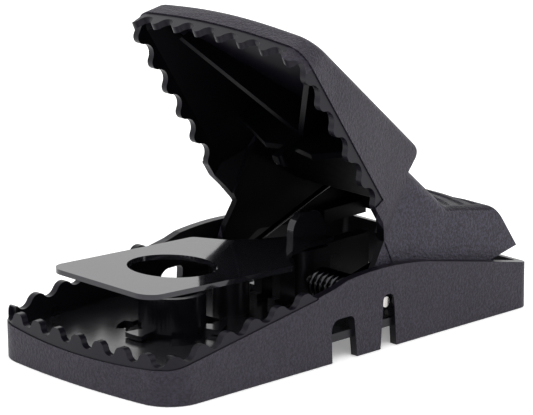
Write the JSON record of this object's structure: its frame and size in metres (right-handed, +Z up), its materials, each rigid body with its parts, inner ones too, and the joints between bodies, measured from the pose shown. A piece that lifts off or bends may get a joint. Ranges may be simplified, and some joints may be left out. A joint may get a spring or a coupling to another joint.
{
  "type": "snap mouse trap",
  "caption": "Plastic snap mouse trap, set: a toothed upper jaw with a foot pedal stands open over a toothed tray with a trigger plate and bait cup.",
  "frame": {"origin": "on the ground under the middle of the base's length and width", "axes": "+X from the mouth towards the pedal, +Y across the trap, +Z up"},
  "size_m": [0.094, 0.0492, 0.0612],
  "materials": {
    "grained_plastic": "spark-grained charcoal plastic",
    "gloss_plastic": "polished black plastic",
    "cup_plastic": "satin black plastic",
    "axle_steel": "bright drawn pin",
    "spring_steel": "dark oiled spring wire"
  },
  "bodies": {
    "base": {"base_shell": "grained_plastic", "jaw_axle": "axle_steel", "torsion_spring_left": "spring_steel", "torsion_spring_right": "spring_steel"},
    "jaw": {"upper_jaw": "grained_plastic"},
    "trigger": {"trigger_plate": "gloss_plastic"},
    "cup": {"bait_cup": "cup_plastic"}
  },
  "joints": [
    {"name": "jaw_hinge", "type": "hinge", "parent": "base", "child": "jaw", "pos_m": [0.0096, 0, 0.0081], "axis": [0, -1, 0], "range_deg": [0, 65]},
    {"name": "trigger_tilt", "type": "hinge", "parent": "base", "child": "trigger", "pos_m": [0.00325, 0, 0.0121], "axis": [0, -1, 0], "range_deg": [0, 14]},
    {"name": "cup_twist", "type": "hinge", "parent": "base", "child": "cup", "pos_m": [-0.0229, 0, 0.005], "axis": [0, 0, 1], "range_deg": [0, 60]}
  ],
  "couplings": [
    {"joint": "trigger_tilt", "follows": "jaw_hinge", "ratio": 0.21538}
  ]
}
